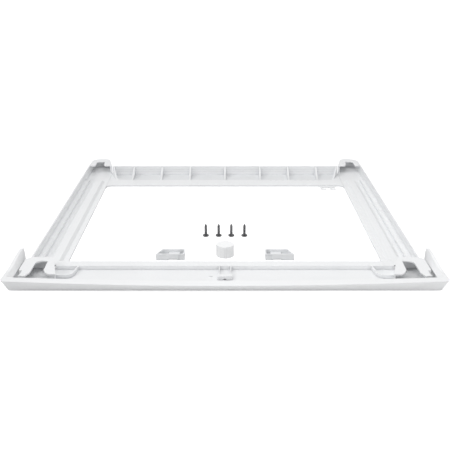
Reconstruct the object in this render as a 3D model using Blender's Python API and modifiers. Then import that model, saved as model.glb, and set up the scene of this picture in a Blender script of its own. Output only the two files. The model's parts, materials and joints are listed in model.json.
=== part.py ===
"""Stacking kit that holds a tumble dryer on top of a washing machine.

Metres, +Z up. The origin is at the middle of the kit's underside. The front is
towards -Y and the right-hand side towards +X. The kit is a flat frame of four
rails with a clip-on front trim, two clips for the dryer's front feet and two
hoods for its rear feet. Two brackets, four screws and a foot cap lie loose
inside the frame.
"""
import math

import bmesh
import bpy
from mathutils import Matrix, Vector

# The whole kit; the width is taken at the tips of the front trim, which flares past it
KIT_WIDTH = 0.6000
KIT_DEPTH = 0.6090
SEAM_GAP = 0.0003
MERGE_SHARE = 0.01
CUT_OVERRUN = 0.0020
ARC_STEPS = 5
SHARP_ANGLE = math.radians(30)

# Side rails, across the section from the opening outwards
RAIL_SIDE_INSET = 0.0188
RAIL_FRONT_INSET = 0.0951
RAIL_EDGE_WIDTH = 0.0080
RAIL_INNER_RAMP_WIDTH = 0.0040
RAIL_OUTER_RAMP_WIDTH = 0.0060
RAIL_DECK_WIDTH = 0.0120
RAIL_TROUGH_WIDTH = 0.0040
RAIL_GROOVE_WIDTH = 0.0027
RAIL_STRIP_WIDTH = 0.0088
RAIL_WALL = 0.0027
RAIL_FLOOR = 0.0030
RAIL_DECK_HEIGHT = 0.0070
RAIL_STRIP_HEIGHT = 0.0075
RAIL_WALL_HEIGHT = 0.0200
RAIL_SHELL = 0.0026
RAIL_HOLLOW_SETBACK = 0.0020
RAIL_RUNOUT_LENGTH = 0.0150
RAIL_CORNER_LENGTH = 0.0477
RAIL_FADED_SHARE = 0.04

# Front tray: a thin floor with a shallow seat for each foot and a small slot
TRAY_FLOOR = 0.0020
TRAY_SLOT_LENGTH = 0.0050
TRAY_SLOT_WIDTH = 0.0016
TRAY_SLOT_ACROSS = 0.0200
TRAY_SLOT_ALONG = 0.0220
SEAT_DEPTH = 0.0004
SEAT_CLEARANCE = 0.0010

# Front rail: a raised band behind the tray and two curbs that stand over the tray
BAND_FRONT_INSET = 0.0893
BAND_WIDTH = 0.0175
BAND_HEIGHT = 0.0080
BAND_SHELL = 0.0025
CURB_START_INSET = 0.0870
CURB_CORNER_INSET = 0.0826
CURB_END_INSET = 0.0617
CURB_LENGTH = 0.0293
CURB_THICKNESS = 0.0020
CURB_HEIGHT = 0.0076
CURB_RADIUS = 0.0120

# Front trim: a bowed front bar with a lip, and two end walls with a shelf beside each clip
TRIM_HEIGHT = 0.0200
TRIM_TIP_HEIGHT = 0.0273
TRIM_BOW = 0.0142
TRIM_FOOT_SETBACK = 0.0262
TRIM_FOOT_SIDE_INSET = 0.0051
TRIM_FOOT_WALL = 0.0025
TRIM_WALL = 0.0030
TRIM_LIP_DEPTH = 0.0159
TRIM_LIP_CORNER_DEPTH = 0.0126
TRIM_LIP_THICKNESS = 0.0025
TRIM_FLARE = 0.0042
TRIM_SIDE_WIDTH = 0.0056
TRIM_SIDE_TAPER = 0.0011
TRIM_SIDE_LEAN = 0.0015
TRIM_SHELF_CLEARANCE = 0.0045
TRIM_SHELF_DROP = 0.0050
TRIM_SHELF_THICKNESS = 0.0027
TRIM_SHELF_FADE = 0.0200
TRIM_CORNER_LEAD = 0.0070
TRIM_TIP_SETBACK = 0.1097
TRIM_TIP_RADIUS = 0.0030
TRIM_TIP_FOOT_LAG = 0.0020
TRIM_RISE_START = 0.0372
TRIM_RISE_LENGTH = 0.0670
TRIM_FRONT_SHARES = (0.0, 0.17, 0.34, 0.5, 0.67, 0.84, 1.0)
TRIM_SIDE_SHARES = (0.14, 0.28, 0.42, 0.56, 0.7, 0.85, 1.0)
TRIM_CORNER_STEPS = 5
TRIM_TIP_STEPS = 4

# Clips for the front feet; outline places are shares of width and length
CLIP_WIDTH = 0.0547
CLIP_SIDE_INSET = 0.0130
CLIP_FRONT_CLEARANCE = 0.0011
CLIP_HEIGHT = 0.0200
CLIP_PLATE = 0.0025
CLIP_WALL = 0.0023
CLIP_REAR_INNER_SHARE = 0.304
CLIP_REAR_OUTER_SHARE = 0.876
CLIP_SHOULDER_SHARE = 0.091
CLIP_NOTCH_SHARES = (0.909, 0.688, 0.703, 0.918, 0.948)
CLIP_FRONT_OUTER_SHARES = (0.700, 1.000)
CLIP_FRONT_INNER_SHARES = (0.260, 0.893)
CLIP_FRONT_TOE_SHARES = (0.000, 0.898)
CLIP_CORNER_RADIUS = 0.0035
CLIP_EDGE_RADIUS = 0.0012
CLIP_SLOT_WIDTH = 0.0163
CLIP_SLOT_SIDE_INSET = 0.0172
CLIP_SLOT_HEAD = 0.0136
CLIP_SLOT_OUTER_RADIUS = 0.0090
CLIP_SLOT_INNER_RADIUS = 0.0020
CLIP_SLOT_OUTER_FLARE = 0.0055
CLIP_SLOT_OUTER_FLARE_SHARE = 0.820
CLIP_SLOT_INNER_FLARES = (0.0012, 0.0054, 0.0135)
CLIP_SLOT_INNER_FLARE_SHARES = (0.690, 0.822, 0.940)

# Hoods for the rear feet
HOOD_DEPTH = 0.0497
HOOD_HEIGHT = 0.0200
HOOD_PLATE = 0.0025
HOOD_WALL = 0.0027
HOOD_WIDTH = 0.0480
HOOD_INNER_LEAN = 0.0115
HOOD_OUTER_LEAN = 0.0005
HOOD_INNER_RADIUS = 0.0140
HOOD_OUTER_RADIUS = 0.0200
HOOD_NOTCH_WIDTH = 0.0164
HOOD_NOTCH_SIDE_INSET = 0.0130
HOOD_NOTCH_DEPTH = 0.0291
HOOD_NOTCH_FLARE = 0.0041
HOOD_NOTCH_FLARE_DEPTH = 0.0110
HOOD_NOTCH_INNER_RADIUS = 0.0015
HOOD_NOTCH_OUTER_RADIUS = 0.0060

# Rear rail: a ledge, a sunk pocket behind it, a wall and its gussets
REAR_WALL_INSET = 0.0532
REAR_WALL = 0.0025
REAR_WALL_HEIGHT = 0.0200
REAR_WALL_END_CLEARANCE = 0.0030
POCKET_LENGTH = 0.0390
POCKET_FLOOR = 0.0015
LEDGE_LENGTH = 0.0345
LEDGE_FILLET = 0.0100
LEDGE_FILLET_LEAD_ANGLE = math.radians(15)
WALL_GROOVE_HEIGHT = 0.0010
WALL_GROOVE_DEPTH = 0.0005
WALL_GROOVE_LEVELS = (0.0090, 0.0130)
GUSSET_THICKNESS = 0.0034
GUSSET_DROP = 0.0015
GUSSET_TOE = 0.0012
GUSSET_SHARES = (-0.810, -0.559, -0.309, 0.0, 0.309, 0.559, 0.810)
GUIDE_THICKNESS = 0.0030
GUIDE_DROP = 0.0003
GUIDE_SLOPE_LENGTH = 0.0310
GUIDE_SLOPE_LEAN = 0.0102
GUIDE_HEAD_LENGTH = 0.0102
GUIDE_HEAD_LEAN = 0.0027
LEDGE_NOTCH_LENGTH = 0.0045
LEDGE_NOTCH_DEPTH = 0.0042
LEDGE_NOTCH_SHARES = (0.400, 0.448, 0.505, 0.614, 0.662, 0.723, 0.771)

# Catch at the middle of the tray
CATCH_WIDTH = 0.0210
CATCH_WALL_SPACING = 0.0166
CATCH_WALL = 0.0016
CATCH_WALL_LENGTH = 0.0255
CATCH_BLOCK_LENGTH = 0.0090
CATCH_NOTCH_WIDTH = 0.0054
CATCH_NOTCH_HEIGHT = 0.0022

# Cable clip on the ledge's front edge
CABLE_CLIP_SIDE_SETBACK = 0.0170
CABLE_CLIP_WIDTH = 0.0300
CABLE_CLIP_BAR = 0.0085
CABLE_CLIP_FINGER_WIDTH = 0.0045
CABLE_CLIP_FINGER_LENGTH = 0.0105
CABLE_CLIP_TOE_LENGTH = 0.0075
CABLE_CLIP_TOE_WIDTH = 0.0030
CABLE_CLIP_RADIUS = 0.0022
CABLE_CLIP_DROP = 0.0010

# Pads let into the underside of the side rails
PAD_LENGTH = 0.0300
PAD_WIDTH = 0.0110
PAD_THICKNESS = 0.0012
PAD_RADIUS = 0.0020
PAD_FRONT_SETBACK = 0.0450
PAD_REAR_SETBACK = 0.0600

# Loose brackets
BRACKET_LENGTH = 0.0437
BRACKET_SLANT = 0.0084
BRACKET_WIDTH = 0.0200
BRACKET_HEIGHT = 0.0103
BRACKET_WALL = 0.0020
BRACKET_FLOOR = 0.0022
BRACKET_PLATEAU_HEIGHT = 0.0060
BRACKET_PLATEAU_START = 0.0085
BRACKET_PLATEAU_LENGTH = 0.0160
BRACKET_STEP_LENGTH = 0.0095
BRACKET_STEP_DEPTH = 0.0012
BRACKET_NOTCH_START = 0.0121
BRACKET_NOTCH_LENGTH = 0.0121
BRACKET_NOTCH_HEIGHT = 0.0024
BRACKET_NOTCH_DEPTH = 0.0040
BRACKET_HOLE_RADIUS = 0.0026
BRACKET_INNER_SETBACK = 0.0605
BRACKET_FRONT_SETBACK = 0.1265

# Loose screws, standing on their heads
SCREW_LENGTH = 0.0206
SCREW_HEAD_RADIUS = 0.0050
SCREW_HEAD_FLAT_RADIUS = 0.0040
SCREW_HEAD_HEIGHT = 0.0026
SCREW_HEAD_DOME = 0.0014
SCREW_SHANK_RADIUS = 0.0024
SCREW_TIP_RADIUS = 0.0012
SCREW_TIP_LENGTH = 0.0038
SCREW_SIDES = 20
SCREW_ROW_SETBACK = 0.2232
SCREW_ACROSS = (-0.0312, -0.0103, 0.0102, 0.0315)

# Loose foot cap
CAP_RADIUS = 0.0143
CAP_HEIGHT = 0.0185
CAP_TOP = 0.0022
CAP_WALL = 0.0020
CAP_RIBS = 36
CAP_RIB_DEPTH = 0.0006
CAP_KEY_WIDTH = 0.0018
CAP_KEY_HEIGHT = 0.0006
CAP_SETBACK = 0.1462

# Colours, roughness and metallic share of each material
WHITE_PLASTIC = ((0.90, 0.91, 0.92, 1.0), 0.42, 0.0)
GREY_PLASTIC = ((0.82, 0.83, 0.84, 1.0), 0.45, 0.0)
DARK_RUBBER = ((0.06, 0.06, 0.06, 1.0), 0.85, 0.0)
DARK_STEEL = ((0.22, 0.22, 0.23, 1.0), 0.38, 0.9)

# Places that several pieces share
side_x = KIT_WIDTH / 2
front_y = -KIT_DEPTH / 2
rear_y = KIT_DEPTH / 2
rail_outer_x = side_x - RAIL_SIDE_INSET
rail_wall_x = rail_outer_x - RAIL_WALL
rail_strip_x = rail_wall_x - RAIL_STRIP_WIDTH
rail_groove_x = rail_strip_x - RAIL_GROOVE_WIDTH
rail_trough_x = rail_groove_x - RAIL_TROUGH_WIDTH
rail_deck_outer_x = rail_trough_x - RAIL_OUTER_RAMP_WIDTH
rail_deck_inner_x = rail_deck_outer_x - RAIL_DECK_WIDTH
rail_ramp_x = rail_deck_inner_x - RAIL_INNER_RAMP_WIDTH
rail_inner_x = rail_ramp_x - RAIL_EDGE_WIDTH
rail_front_y = front_y + RAIL_FRONT_INSET
hood_front_y = rear_y - HOOD_DEPTH
hood_inner_x = rail_outer_x - HOOD_WIDTH
band_front_y = front_y + BAND_FRONT_INSET
band_rear_y = band_front_y + BAND_WIDTH
trim_foot_y = front_y + TRIM_FOOT_SETBACK
trim_foot_x = side_x - TRIM_FOOT_SIDE_INSET
clip_outer_x = side_x - CLIP_SIDE_INSET
clip_rear_y = rail_front_y - SEAM_GAP
clip_front_y = trim_foot_y + TRIM_FOOT_WALL + CLIP_FRONT_CLEARANCE
clip_length = clip_rear_y - clip_front_y
wall_rear_y = rear_y - REAR_WALL_INSET
wall_front_y = wall_rear_y - REAR_WALL
wall_middle_y = (wall_front_y + wall_rear_y) / 2
wall_end_x = hood_inner_x - REAR_WALL_END_CLEARANCE
ledge_rear_y = wall_front_y - POCKET_LENGTH
ledge_front_y = ledge_rear_y - LEDGE_LENGTH

# Turns that lay an outline's extrusion along X or along Y
ALONG_X = Matrix(((0, 0, 1, 0), (1, 0, 0, 0), (0, 1, 0, 0), (0, 0, 0, 1)))
ALONG_Y = Matrix(((1, 0, 0, 0), (0, 0, -1, 0), (0, 1, 0, 0), (0, 0, 0, 1)))


def start_scene():
    """Empty the scene and make the collections of parts and cutters."""
    for item in list(bpy.data.objects):
        bpy.data.objects.remove(item)
    for name in ("stacking_kit", "cutters"):
        bpy.context.scene.collection.children.link(bpy.data.collections.new(name))


def new_object(name, mesh):
    """Object for a mesh, kept with the cutters until it is finished as a part."""
    item = bpy.data.objects.new(name, mesh)
    bpy.data.collections["cutters"].objects.link(item)
    item.hide_render = True
    item.display_type = "WIRE"
    return item


def finish_part(item, finish):
    """Move a finished object to the parts and give it a material of its own."""
    colour, roughness, metallic = finish
    material = bpy.data.materials.new(item.name + "_finish")
    material.use_nodes = True
    shader = material.node_tree.nodes["Principled BSDF"]
    shader.inputs["Base Color"].default_value = colour
    shader.inputs["Roughness"].default_value = roughness
    shader.inputs["Metallic"].default_value = metallic
    item.data.materials.clear()
    item.data.materials.append(material)
    bpy.data.collections["cutters"].objects.unlink(item)
    bpy.data.collections["stacking_kit"].objects.link(item)
    item.hide_render = False
    item.display_type = "TEXTURED"
    item.parent = bpy.data.objects["kit_origin"]
    return item


def evaluated_mesh(item):
    """Mesh of an object with its modifiers, as a new mesh."""
    bpy.context.view_layer.update()
    graph = bpy.context.evaluated_depsgraph_get()
    return bpy.data.meshes.new_from_object(item.evaluated_get(graph))


def weld(mesh):
    """Join points that coincide and turn every face outwards."""
    work = bmesh.new()
    work.from_mesh(mesh)
    bmesh.ops.remove_doubles(work, verts=work.verts, dist=SEAM_GAP * MERGE_SHARE)
    bmesh.ops.recalc_face_normals(work, faces=work.faces)
    work.to_mesh(mesh)
    work.free()
    return mesh


def box(name, low, high):
    """Box between its lowest and its highest corner."""
    size = Vector(high) - Vector(low)
    middle = (Vector(high) + Vector(low)) / 2
    work = bmesh.new()
    place = Matrix.Translation(middle) @ Matrix.Diagonal((*size, 1))
    bmesh.ops.create_cube(work, size=1, matrix=place)
    mesh = bpy.data.meshes.new(name)
    work.to_mesh(mesh)
    work.free()
    return new_object(name, mesh)


def cylinder(name, centre, radius, low, high, sides):
    """Upright cylinder round a centre in plan, between two heights."""
    work = bmesh.new()
    place = Matrix.Translation((centre[0], centre[1], (low + high) / 2))
    bmesh.ops.create_cone(
        work, cap_ends=True, segments=sides, radius1=radius, radius2=radius,
        depth=high - low, matrix=place)
    mesh = bpy.data.meshes.new(name)
    work.to_mesh(mesh)
    work.free()
    return new_object(name, mesh)


def outline_solid(name, outline, low, high, turn=None):
    """Solid with a flat outline, filled and extruded from one level to another."""
    curve = bpy.data.curves.new(name, "CURVE")
    curve.dimensions = "2D"
    curve.fill_mode = "BOTH"
    curve.extrude = (high - low) / 2
    spline = curve.splines.new("POLY")
    spline.points.add(len(outline) - 1)
    for point, (across, along) in zip(spline.points, outline):
        point.co = (across, along, 0, 1)
    spline.use_cyclic_u = True
    guide = bpy.data.objects.new(name + "_outline", curve)
    bpy.context.scene.collection.objects.link(guide)
    mesh = evaluated_mesh(guide)
    bpy.data.objects.remove(guide)
    mesh.transform(Matrix.Translation((0, 0, (low + high) / 2)))
    if turn:
        mesh.transform(turn)
    return new_object(name, weld(mesh))


def along_x(name, section, low, high):
    """Solid whose section in Y and Z runs from one X to another."""
    return outline_solid(name, section, low, high, ALONG_X)


def along_y(name, section, low, high):
    """Solid whose section in X and Z runs from one Y to another."""
    return outline_solid(name, section, -high, -low, ALONG_Y)


def loft(name, rings):
    """Closed skin over rings that all have the same number of points."""
    work = bmesh.new()
    rows = [[work.verts.new(point) for point in ring] for ring in rings]
    for row, following in zip(rows, rows[1:]):
        for index in range(len(row)):
            work.faces.new((row[index - 1], row[index], following[index], following[index - 1]))
    work.faces.new(rows[0])
    work.faces.new(list(reversed(rows[-1])))
    mesh = bpy.data.meshes.new(name)
    work.to_mesh(mesh)
    work.free()
    return new_object(name, weld(mesh))


def combine(base, tool, operation):
    """Boolean of one tool on a base; the tool stays with the cutters."""
    modifier = base.modifiers.new(tool.name, "BOOLEAN")
    modifier.operation = operation
    modifier.solver = "EXACT"
    modifier.object = tool
    return base


def cut(base, *tools):
    """Take tools away from a base, one after another."""
    for tool in tools:
        combine(base, tool, "DIFFERENCE")
    return base


def add(base, *tools):
    """Join tools to a base, one after another."""
    for tool in tools:
        combine(base, tool, "UNION")
    return base


def mirrored(source, name):
    """Left-hand copy of a right-hand object, with its modifiers carried out."""
    mesh = evaluated_mesh(source)
    mesh.transform(Matrix.Diagonal((-1, 1, 1, 1)))
    mesh.flip_normals()
    mesh.name = name
    item = new_object(name, mesh)
    item.location = (-source.location.x, source.location.y, source.location.z)
    return item


def arc(centre, radius, start, end, steps=ARC_STEPS):
    """Points of an arc, from a start angle to an end angle."""
    points = []
    for step in range(steps + 1):
        angle = start + (end - start) * step / steps
        points.append((centre[0] + radius * math.cos(angle), centre[1] + radius * math.sin(angle)))
    return points


def rounded(corners):
    """Outline through corners, each given with the radius that it is turned with."""
    outline = []
    for index, (place, radius) in enumerate(corners):
        corner = Vector(place)
        if radius == 0:
            outline.append(tuple(corner))
            continue
        before = (Vector(corners[index - 1][0]) - corner).normalized()
        after = (Vector(corners[(index + 1) % len(corners)][0]) - corner).normalized()
        half = before.angle(after) / 2
        centre = corner + (before + after).normalized() * (radius / math.sin(half))
        first = corner + before * (radius / math.tan(half)) - centre
        last = corner + after * (radius / math.tan(half)) - centre
        start = math.atan2(first.y, first.x)
        sweep = math.atan2(last.y, last.x) - start
        sweep = (sweep + math.pi) % math.tau - math.pi
        outline.extend(arc(centre, radius, start, start + sweep))
    return outline


def inset(corners, distance):
    """Corners of an anticlockwise outline, all its sides moved inwards alike."""
    moved = []
    for index, place in enumerate(corners):
        corner = Vector(place)
        before = (corner - Vector(corners[index - 1])).normalized()
        after = (Vector(corners[(index + 1) % len(corners)]) - corner).normalized()
        normals = Vector((-before.y, before.x)), Vector((-after.y, after.x))
        step = (normals[0] + normals[1]) / (1 + normals[0].dot(normals[1]))
        moved.append(tuple(corner + step * distance))
    return moved


def ease(share):
    """Smooth step from 0 to 1 for a share from 0 to 1."""
    share = min(max(share, 0.0), 1.0)
    return share * share * (3 - 2 * share)


# Side rails


def rail_ring(along, ridge_share):
    """Section of the right-hand rail at one Y, with its ridges full or faded."""
    deck = RAIL_FLOOR + (RAIL_DECK_HEIGHT - RAIL_FLOOR) * ridge_share
    strip = RAIL_FLOOR + (RAIL_STRIP_HEIGHT - RAIL_FLOOR) * ridge_share
    hollow = (RAIL_DECK_HEIGHT - RAIL_SHELL) * ridge_share
    section = (
        (rail_inner_x, 0),
        (rail_ramp_x + RAIL_HOLLOW_SETBACK, 0),
        (rail_deck_inner_x, hollow),
        (rail_deck_outer_x, hollow),
        (rail_trough_x - RAIL_HOLLOW_SETBACK, 0),
        (rail_outer_x, 0),
        (rail_outer_x, RAIL_WALL_HEIGHT),
        (rail_wall_x, RAIL_WALL_HEIGHT),
        (rail_wall_x, strip),
        (rail_strip_x, strip),
        (rail_strip_x, RAIL_FLOOR),
        (rail_trough_x, RAIL_FLOOR),
        (rail_deck_outer_x, deck),
        (rail_deck_inner_x, deck),
        (rail_ramp_x, RAIL_FLOOR),
        (rail_inner_x, RAIL_FLOOR),
    )
    return [(across, along, height) for across, height in section]


def pad_outline(centre_y, margin):
    """Outline of a pad, or of the recess round it when a margin is given."""
    centre_x = (rail_strip_x + rail_wall_x - RAIL_WALL / 2) / 2
    reach_x = PAD_WIDTH / 2 + margin
    reach_y = PAD_LENGTH / 2 + margin
    corners = ((-reach_x, -reach_y), (reach_x, -reach_y), (reach_x, reach_y), (-reach_x, reach_y))
    radius = PAD_RADIUS + margin
    return rounded([((centre_x + x, centre_y + y), radius) for x, y in corners])


def pad_places():
    """Name and middle Y of the front and the rear pad."""
    front = rail_front_y + PAD_FRONT_SETBACK
    rear = hood_front_y - PAD_REAR_SETBACK
    return (("front", front), ("rear", rear))


def make_side_rails():
    rear = hood_front_y - SEAM_GAP
    ridge_end = rear - RAIL_CORNER_LENGTH
    rail = loft("right_side_rail", [
        rail_ring(rail_front_y, 1),
        rail_ring(ridge_end - RAIL_RUNOUT_LENGTH, 1),
        rail_ring(ridge_end, RAIL_FADED_SHARE),
        rail_ring(rear, RAIL_FADED_SHARE),
    ])
    notch = box(
        "right_rail_notch",
        (rail_inner_x - CUT_OVERRUN, rail_front_y - CUT_OVERRUN, -CUT_OVERRUN),
        (rail_deck_inner_x + SEAM_GAP, band_rear_y + SEAM_GAP, RAIL_WALL_HEIGHT))
    cut(rail, notch)
    for name, along in pad_places():
        outline = pad_outline(along, SEAM_GAP)
        recess = outline_solid(name + "_pad_recess", outline, -CUT_OVERRUN, PAD_THICKNESS + SEAM_GAP)
        cut(rail, recess)
    finish_part(mirrored(rail, "left_side_rail"), WHITE_PLASTIC)
    finish_part(rail, WHITE_PLASTIC)


def make_pads():
    for name, along in pad_places():
        pad = outline_solid("right_" + name + "_pad", pad_outline(along, 0), 0, PAD_THICKNESS)
        finish_part(mirrored(pad, "left_" + name + "_pad"), DARK_RUBBER)
        finish_part(pad, DARK_RUBBER)


# Front tray and front rail


def tray_outline():
    """Plan of the tray floor, with room at its rear for the front rail's band."""
    floor_x = trim_foot_x - TRIM_FOOT_WALL - SEAM_GAP
    front = trim_foot_y + TRIM_FOOT_WALL + SEAM_GAP
    rear = rail_front_y - SEAM_GAP
    room_x = rail_deck_inner_x + SEAM_GAP
    room_y = band_front_y - SEAM_GAP
    return rounded([
        ((-floor_x, front), TRIM_CORNER_LEAD),
        ((floor_x, front), TRIM_CORNER_LEAD),
        ((floor_x, rear), 0),
        ((room_x, rear), 0),
        ((room_x, room_y), 0),
        ((-room_x, room_y), 0),
        ((-room_x, rear), 0),
        ((-floor_x, rear), 0),
    ])


def make_front_tray():
    tray = outline_solid("front_tray", tray_outline(), 0, TRAY_FLOOR)
    toe_share = CLIP_FRONT_TOE_SHARES[1]
    corners = [
        clip_place(CLIP_FRONT_TOE_SHARES[0], toe_share),
        clip_place(CLIP_NOTCH_SHARES[0], toe_share),
        clip_place(CLIP_NOTCH_SHARES[0], 0),
        clip_place(CLIP_REAR_INNER_SHARE, 0),
    ]
    seat = outline_solid(
        "right_foot_seat", inset(corners, CLIP_WALL + SEAT_CLEARANCE),
        TRAY_FLOOR - SEAT_DEPTH, TRAY_FLOOR + CUT_OVERRUN)
    slot_x = -TRAY_SLOT_ACROSS
    slot_y = band_front_y - TRAY_SLOT_ALONG
    slot = box(
        "tray_slot",
        (slot_x - TRAY_SLOT_LENGTH / 2, slot_y - TRAY_SLOT_WIDTH / 2, -CUT_OVERRUN),
        (slot_x + TRAY_SLOT_LENGTH / 2, slot_y + TRAY_SLOT_WIDTH / 2, TRAY_FLOOR + CUT_OVERRUN))
    cut(tray, seat, mirrored(seat, "left_foot_seat"), slot)
    finish_part(tray, WHITE_PLASTIC)


def curb_outline():
    """Right-hand curb: forward from the band, then outwards to the foot clip."""
    half = CURB_THICKNESS / 2
    start = side_x - CURB_START_INSET
    corner = side_x - CURB_CORNER_INSET
    end = side_x - CURB_END_INSET
    rear = band_front_y + half
    front = band_front_y - CURB_LENGTH
    return rounded([
        ((start - half, rear), 0),
        ((corner - half, front - half), CURB_RADIUS + half),
        ((end, front - half), 0),
        ((end, front + half), 0),
        ((corner + half, front + half), CURB_RADIUS - half),
        ((start + half, rear), 0),
    ])


def make_front_rail():
    band_x = rail_deck_inner_x
    rail = box("front_rail", (-band_x, band_front_y, 0), (band_x, band_rear_y, BAND_HEIGHT))
    hollow = box(
        "front_rail_hollow",
        (-band_x + BAND_SHELL, band_front_y + BAND_SHELL, -CUT_OVERRUN),
        (band_x - BAND_SHELL, band_rear_y - BAND_SHELL, BAND_HEIGHT - BAND_SHELL))
    cut(rail, hollow)
    curb = outline_solid("right_curb", curb_outline(), TRAY_FLOOR + SEAM_GAP, CURB_HEIGHT)
    add(rail, curb, mirrored(curb, "left_curb"))
    finish_part(rail, WHITE_PLASTIC)


# Front trim


def trim_edge(middle_y, corner, tip):
    """One long edge in plan, from the middle of the front to the tip of the right end wall."""
    corner = Vector(corner)
    turn_x = corner.x - TRIM_CORNER_LEAD
    points = []
    for share in TRIM_FRONT_SHARES:
        across = turn_x * share
        bow_share = (across / corner.x) ** 2
        points.append(Vector((across, middle_y + (corner.y - middle_y) * bow_share)))
    start = points[-1]
    end = corner + Vector((0, TRIM_CORNER_LEAD))
    for step in range(1, TRIM_CORNER_STEPS + 1):
        share = step / TRIM_CORNER_STEPS
        points.append(start.lerp(corner, share).lerp(corner.lerp(end, share), share))
    for share in TRIM_SIDE_SHARES:
        points.append(end.lerp(Vector(tip), share))
    return points


def trim_top(along):
    """Height of the trim's top edge at one Y."""
    share = (along - front_y - TRIM_RISE_START) / TRIM_RISE_LENGTH
    return TRIM_HEIGHT + (TRIM_TIP_HEIGHT - TRIM_HEIGHT) * ease(share)


def trim_rings():
    """Six-point sections of the right-hand half, from the middle to the tip."""
    tip_y = front_y + TRIM_TIP_SETBACK
    foot_tip_y = tip_y - TRIM_TIP_FOOT_LAG
    corner_y = front_y + TRIM_BOW
    top_inner_x = side_x - TRIM_SIDE_WIDTH
    foot_inner_x = trim_foot_x - TRIM_FOOT_WALL
    foot_inner_y = trim_foot_y + TRIM_FOOT_WALL
    lip_y = front_y + TRIM_LIP_DEPTH
    lip_corner_y = corner_y + TRIM_LIP_CORNER_DEPTH
    lip_share = 1 - TRIM_LIP_THICKNESS / TRIM_HEIGHT
    throat_y = trim_foot_y + (front_y - trim_foot_y) * lip_share + TRIM_WALL
    throat_corner_y = trim_foot_y + (corner_y - trim_foot_y) * lip_share + TRIM_WALL
    throat_x = top_inner_x - TRIM_SIDE_LEAN / 2
    taper = TRIM_SIDE_TAPER
    flare = TRIM_FLARE
    foot_outer = trim_edge(trim_foot_y, (trim_foot_x + flare, trim_foot_y), (trim_foot_x, foot_tip_y))
    top_outer = trim_edge(front_y, (side_x + flare, corner_y), (side_x, tip_y))
    top_inner = trim_edge(lip_y, (top_inner_x + flare, lip_corner_y), (top_inner_x + taper, tip_y))
    throat = trim_edge(throat_y, (throat_x + flare, throat_corner_y), (throat_x + taper, tip_y))
    foot_inner = trim_edge(foot_inner_y, (foot_inner_x, foot_inner_y), (foot_inner_x + taper, foot_tip_y))
    shelf_x = clip_outer_x + TRIM_SHELF_CLEARANCE
    shelf_edge = trim_edge(lip_y, (shelf_x, lip_corner_y), (shelf_x, tip_y))
    shelf_top = TRIM_HEIGHT - TRIM_SHELF_DROP
    shelf_foot = shelf_top - TRIM_SHELF_THICKNESS
    front_count = len(TRIM_FRONT_SHARES)
    rings = []
    for index, edges in enumerate(zip(foot_outer, top_outer, top_inner, throat, foot_inner)):
        along = edges[1].y
        top = trim_top(along)
        turned = ease((index - front_count + 1) / TRIM_CORNER_STEPS)
        shelf_share = turned * ease((tip_y - along) / TRIM_SHELF_FADE)
        under_lip = top - TRIM_LIP_THICKNESS
        under_throat = top - TRIM_LIP_THICKNESS * (1 + turned)
        heights = (0, top, top, under_throat + (shelf_foot - under_throat) * shelf_share, 0)
        ring = [(*edge, height) for edge, height in zip(edges, heights)]
        shelf = edges[2].lerp(shelf_edge[index], shelf_share)
        ring.insert(3, (*shelf, under_lip + (shelf_top - under_lip) * shelf_share))
        rings.append(ring)
    return rings


def trim_tip_rings(last):
    """Sections that round the top of the end wall down to its rear edge."""
    rings = []
    for step in range(1, TRIM_TIP_STEPS + 1):
        angle = math.pi / 2 * step / TRIM_TIP_STEPS
        reach = TRIM_TIP_RADIUS * math.sin(angle)
        drop = TRIM_TIP_RADIUS * (1 - math.cos(angle))
        ring = []
        for across, along, height in last:
            kept_share = height / TRIM_TIP_HEIGHT
            ring.append((across, along + reach, height - drop * kept_share))
        rings.append(ring)
    return rings


def make_front_trim():
    half = trim_rings()
    half += trim_tip_rings(half[-1])
    other = [[(-across, along, height) for across, along, height in ring] for ring in half[:0:-1]]
    finish_part(loft("front_trim", other + half), WHITE_PLASTIC)


# Clips for the front feet


def clip_place(across_share, along_share):
    """Place in plan on the right-hand clip, from shares of its width and length."""
    across = clip_outer_x - CLIP_WIDTH * (1 - across_share)
    return (across, clip_rear_y - clip_length * along_share)


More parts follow.
